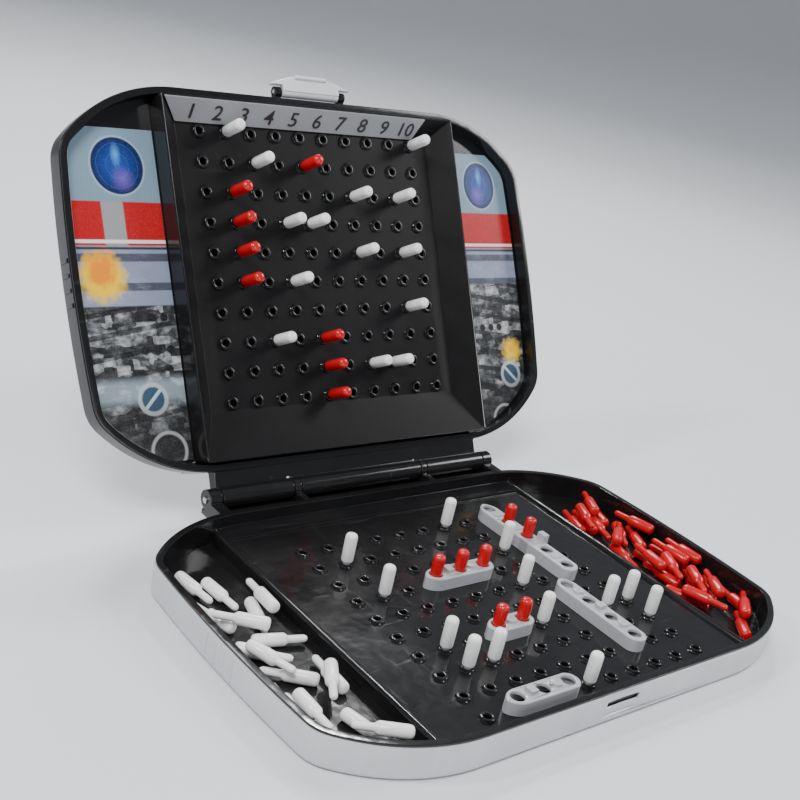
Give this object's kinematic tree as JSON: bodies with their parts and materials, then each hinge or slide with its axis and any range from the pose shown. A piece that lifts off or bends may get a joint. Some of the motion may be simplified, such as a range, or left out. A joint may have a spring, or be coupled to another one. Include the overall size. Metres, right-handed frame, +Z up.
{
  "type": "folding sea battle game case",
  "caption": "Folding two-player sea battle travel case standing open, with drilled ocean board, upright target grid, peg wells, five ships and plug-in pegs.",
  "frame": {"origin": "centre of the base's flat bottom face", "axes": "+X to the player's right along the hinge, +Y from the player to the hinge, +Z up"},
  "size_m": [0.2254, 0.2383, 0.1545],
  "materials": {
    "silver_plastic": "satin silver moulded plastic",
    "black_plastic": "glossy black moulded plastic",
    "steel": "bright drawn wire",
    "strip_grey": "satin grey plastic",
    "printed_sticker": "gloss laminated print",
    "clasp_grey": "satin pale grey plastic",
    "ship_grey": "satin grey plastic",
    "white_peg": "glossy white plastic",
    "red_peg": "glossy red plastic"
  },
  "bodies": {
    "base": {"base_outer_shell": "silver_plastic", "base_inner_tray": "black_plastic", "hinge_pin": "steel"},
    "lid": {"lid_outer_shell": "black_plastic", "target_panel": "black_plastic", "number_strip": "strip_grey", "left_sticker": "printed_sticker", "right_sticker": "printed_sticker", "clasp_pin": "steel"},
    "clasp": {"clasp": "clasp_grey"},
    "carrier": {"carrier": "ship_grey"},
    "battleship": {"battleship": "ship_grey"},
    "cruiser": {"cruiser": "ship_grey"},
    "submarine": {"submarine": "ship_grey"},
    "destroyer": {"destroyer": "ship_grey"},
    "ocean_white_pegs": {"ocean_white_pegs": "white_peg"},
    "ocean_red_pegs": {"ocean_red_pegs": "red_peg"},
    "target_white_pegs": {"target_white_pegs": "white_peg"},
    "target_red_pegs": {"target_red_pegs": "red_peg"},
    "well_white_pegs": {"well_white_pegs": "white_peg"},
    "well_red_pegs": {"well_red_pegs": "red_peg"}
  },
  "joints": [
    {"name": "lid_hinge", "type": "hinge", "parent": "base", "child": "lid", "pos_m": [0, 0.08125, 0.01325], "axis": [-1, 0, 0], "range_deg": [-108, 0]},
    {"name": "clasp_pivot", "type": "hinge", "parent": "lid", "child": "clasp", "pos_m": [0, 0.15964, 0.14763], "axis": [1, 0, 0], "range_deg": [0, 90]},
    {"name": "carrier_lift", "type": "slide", "parent": "base", "child": "carrier", "axis": [0, 0, 1], "range_m": [0, 0.03]},
    {"name": "battleship_lift", "type": "slide", "parent": "base", "child": "battleship", "axis": [0, 0, 1], "range_m": [0, 0.03]},
    {"name": "cruiser_lift", "type": "slide", "parent": "base", "child": "cruiser", "axis": [0, 0, 1], "range_m": [0, 0.03]},
    {"name": "submarine_lift", "type": "slide", "parent": "base", "child": "submarine", "axis": [0, 0, 1], "range_m": [0, 0.03]},
    {"name": "destroyer_lift", "type": "slide", "parent": "base", "child": "destroyer", "axis": [0, 0, 1], "range_m": [0, 0.03]},
    {"name": "ocean_white_pegs_pull", "type": "slide", "parent": "base", "child": "ocean_white_pegs", "axis": [0, 0, 1], "range_m": [0, 0.02]},
    {"name": "ocean_red_pegs_pull", "type": "slide", "parent": "base", "child": "ocean_red_pegs", "axis": [0, 0, 1], "range_m": [0, 0.02]},
    {"name": "well_white_pegs_pull", "type": "slide", "parent": "base", "child": "well_white_pegs", "axis": [0, 0, 1], "range_m": [0, 0.03]},
    {"name": "well_red_pegs_pull", "type": "slide", "parent": "base", "child": "well_red_pegs", "axis": [0, 0, 1], "range_m": [0, 0.03]},
    {"name": "target_white_pegs_pull", "type": "slide", "parent": "lid", "child": "target_white_pegs", "axis": [0, -0.8721, 0.4894], "range_m": [0, 0.016]},
    {"name": "target_red_pegs_pull", "type": "slide", "parent": "lid", "child": "target_red_pegs", "axis": [0, -0.8721, 0.4894], "range_m": [0, 0.016]}
  ]
}
